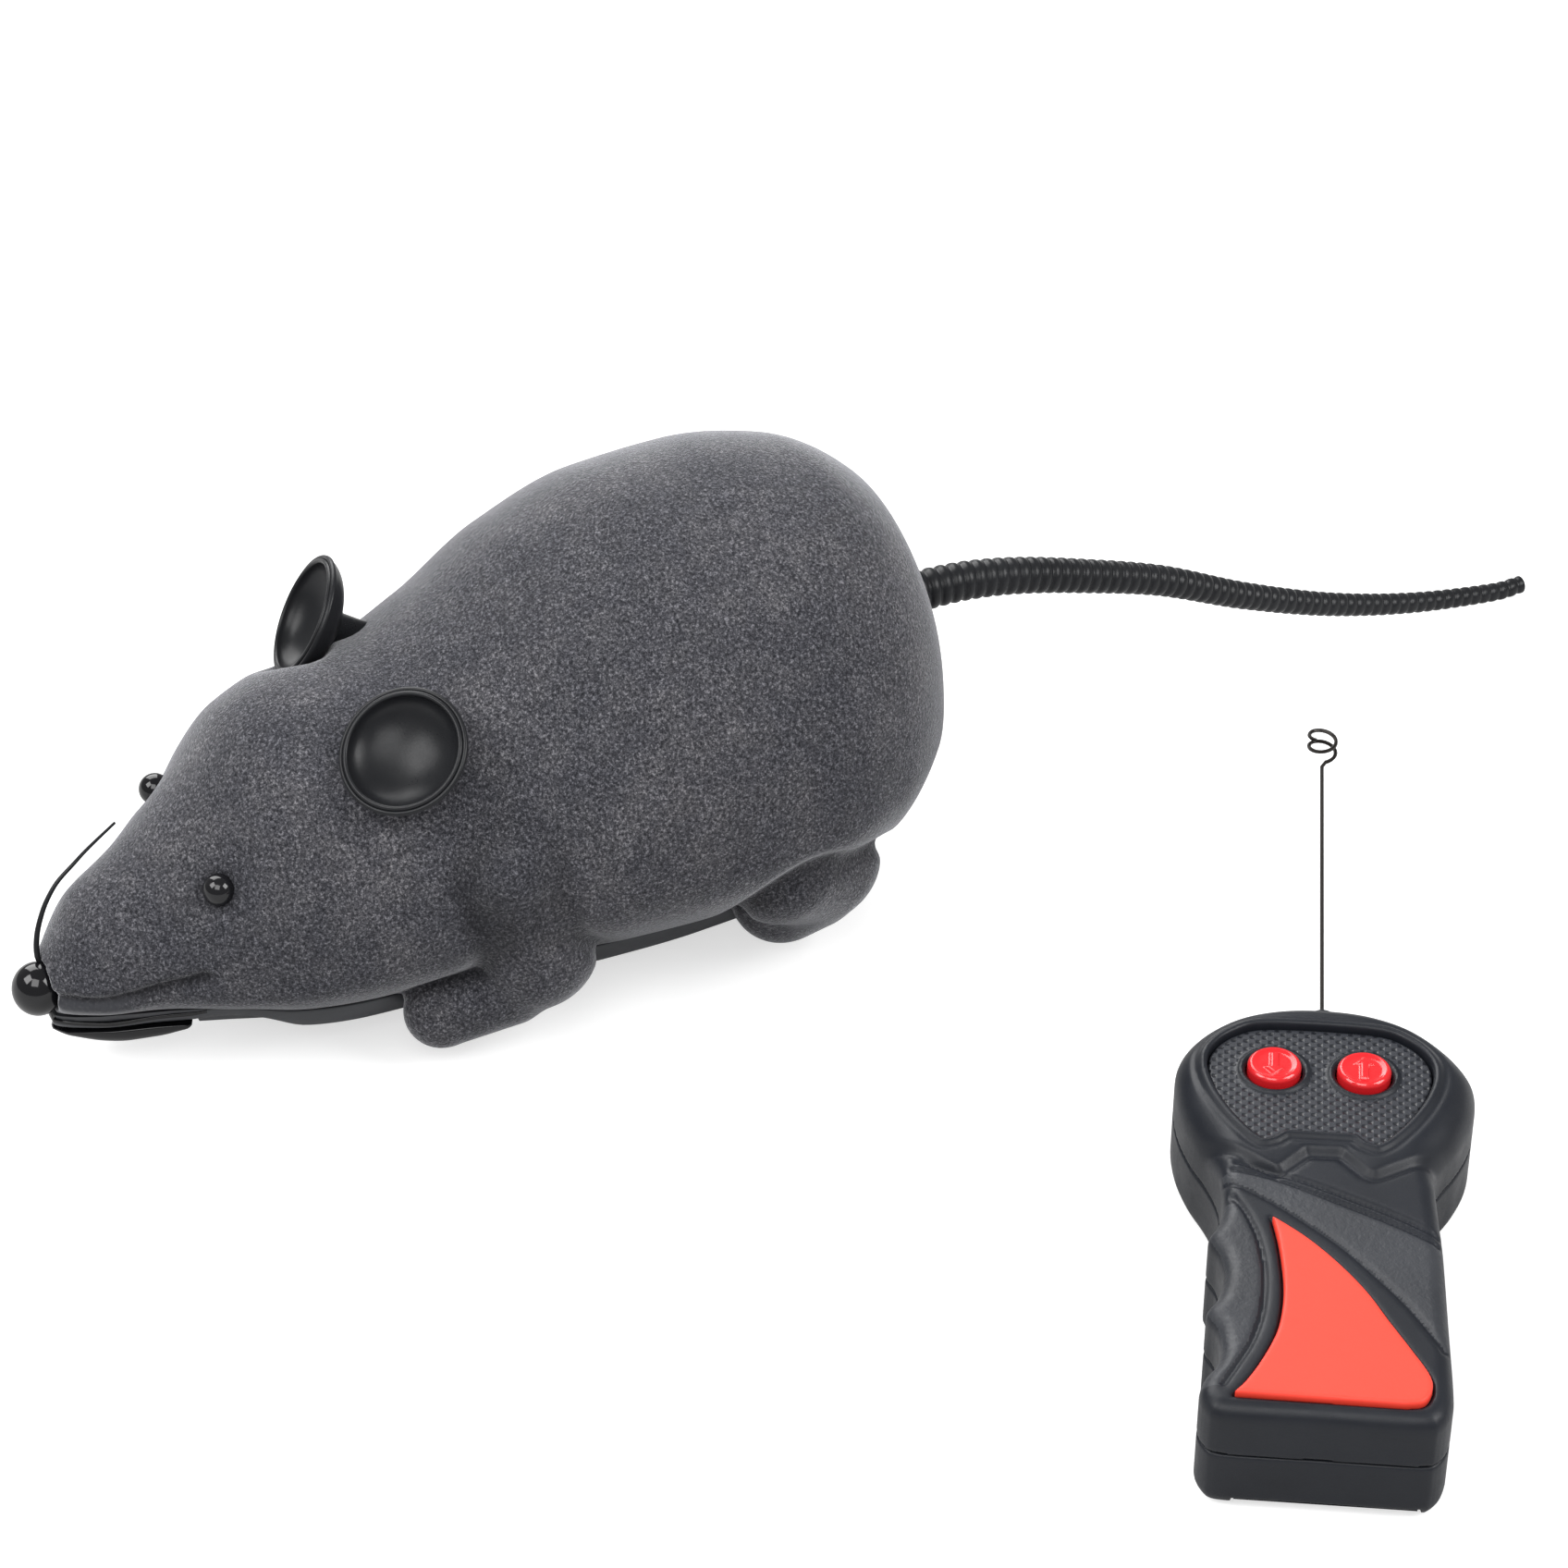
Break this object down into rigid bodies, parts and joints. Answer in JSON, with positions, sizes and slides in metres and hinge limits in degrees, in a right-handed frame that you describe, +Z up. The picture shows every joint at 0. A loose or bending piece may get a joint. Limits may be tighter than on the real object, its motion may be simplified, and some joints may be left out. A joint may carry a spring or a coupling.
{
  "type": "remote-controlled cat toy mouse",
  "caption": "Flocked toy mouse for cats that drives on hidden wheels behind a castor, with a ribbed rubber tail, and its hand-held remote with push buttons and a wire antenna.",
  "frame": {"origin": "on the floor, under the middle of the box around the mouse and the remote, the tail left out", "axes": "+Z is up; the mouse's nose points to -Y and its left side is +X; the remote lies on its back beside the mouse, its antenna pointing to -X and +Y"},
  "size_m": [0.1956, 0.2525, 0.069],
  "materials": {
    "flocked_shell": "short grey flocking over a moulded plastic shell",
    "satin_black_plastic": "satin moulded",
    "gloss_black_plastic": "polished",
    "black_rubber": "soft satin rubber",
    "tyre_rubber": "matt rubber",
    "steel": "plain steel",
    "brass": "turned",
    "white_nylon": "moulded",
    "circuit_board": "green lacquer",
    "battery_sleeve": "printed sleeve",
    "remote_plastic": "satin moulded",
    "red_plastic": "polished",
    "coral_plastic": "semi-gloss",
    "antenna_wire": "blackened spring wire"
  },
  "bodies": {
    "mouse": {"body_shell": "flocked_shell", "chassis": "satin_black_plastic", "lower_jaw": "gloss_black_plastic", "battery_left": "battery_sleeve", "battery_right": "battery_sleeve", "battery_contact_front": "steel", "battery_contact_rear": "steel", "receiver_board": "circuit_board", "motor": "steel", "compound_pin": "steel", "gearbox_frame": "white_nylon", "power_switch_body": "satin_black_plastic", "ear_left": "black_rubber", "ear_right": "black_rubber", "eye_left": "gloss_black_plastic", "eye_right": "gloss_black_plastic", "nose": "gloss_black_plastic", "whisker": "black_rubber", "tail": "black_rubber", "tail_socket": "black_rubber", "chassis_screw_left": "steel", "chassis_screw_right": "steel", "jaw_screw": "steel"},
    "remote": {"remote_front_shell": "remote_plastic", "remote_back_shell": "remote_plastic", "remote_face_plate": "remote_plastic", "grip_panel": "coral_plastic", "button_mat": "black_rubber", "remote_board": "circuit_board", "remote_cell_left": "battery_sleeve", "remote_cell_right": "battery_sleeve", "remote_contact_end": "steel", "remote_contact_top": "steel", "antenna_collar": "remote_plastic", "remote_antenna": "antenna_wire", "remote_screw_left": "steel", "remote_screw_right": "steel"},
    "drive_wheels": {"drive_axle": "steel", "axle_gear": "white_nylon", "wheel_hub_left": "satin_black_plastic", "wheel_hub_right": "satin_black_plastic", "tyre_left": "tyre_rubber", "tyre_right": "tyre_rubber"},
    "reduction_gear": {"compound_gear": "white_nylon"},
    "motor_rotor": {"motor_pinion": "brass"},
    "castor": {"castor_fork": "satin_black_plastic", "castor_axle": "steel"},
    "castor_roller": {"castor_wheel": "tyre_rubber"},
    "power_knob": {"power_switch_knob": "gloss_black_plastic"},
    "battery_hatch": {"battery_door": "satin_black_plastic", "battery_door_screw": "steel"},
    "forward_key": {"forward_button": "red_plastic"},
    "backward_key": {"backward_button": "red_plastic"},
    "remote_hatch": {"remote_battery_door": "remote_plastic"}
  },
  "joints": [
    {"name": "drive_axle_spin", "type": "hinge", "parent": "mouse", "child": "drive_wheels", "pos_m": [-0.0605, 0.00969, 0.0095], "axis": [1, 0, 0], "continuous": true},
    {"name": "reduction_gear_spin", "type": "hinge", "parent": "mouse", "child": "reduction_gear", "pos_m": [-0.0605, 0.00509, 0.01653], "axis": [1, 0, 0], "continuous": true},
    {"name": "motor_spin", "type": "hinge", "parent": "mouse", "child": "motor_rotor", "pos_m": [-0.0605, -0.00016, 0.02257], "axis": [1, 0, 0], "continuous": true},
    {"name": "castor_swivel", "type": "hinge", "parent": "mouse", "child": "castor", "pos_m": [-0.0605, -0.06431, 0.0114], "axis": [0, 0, 1], "range_deg": [0, 35]},
    {"name": "castor_roll", "type": "hinge", "parent": "castor", "child": "castor_roller", "pos_m": [-0.0605, -0.06131, 0.0045], "axis": [1, 0, 0], "continuous": true},
    {"name": "power_switch_slide", "type": "slide", "parent": "mouse", "child": "power_knob", "axis": [0, 1, 0], "range_m": [0, 0.0027]},
    {"name": "battery_door_off", "type": "slide", "parent": "mouse", "child": "battery_hatch", "axis": [0, 0, -1], "range_m": [0, 0.015]},
    {"name": "remote_lift", "type": "slide", "parent": "mouse", "child": "remote", "axis": [0, 0, 1], "range_m": [0, 0.1]},
    {"name": "forward_button_press", "type": "slide", "parent": "remote", "child": "forward_key", "axis": [0, 0, -1], "range_m": [0, 0.001], "stiffness_N_per_m": 400},
    {"name": "backward_button_press", "type": "slide", "parent": "remote", "child": "backward_key", "axis": [0, 0, -1], "range_m": [0, 0.001], "stiffness_N_per_m": 400},
    {"name": "remote_battery_door_slide", "type": "slide", "parent": "remote", "child": "remote_hatch", "axis": [0.8536, -0.521, 0], "range_m": [0, 0.03]}
  ],
  "couplings": [
    {"joint": "reduction_gear_spin", "follows": "drive_axle_spin", "ratio": -2.5},
    {"joint": "motor_spin", "follows": "drive_axle_spin", "ratio": 10}
  ]
}
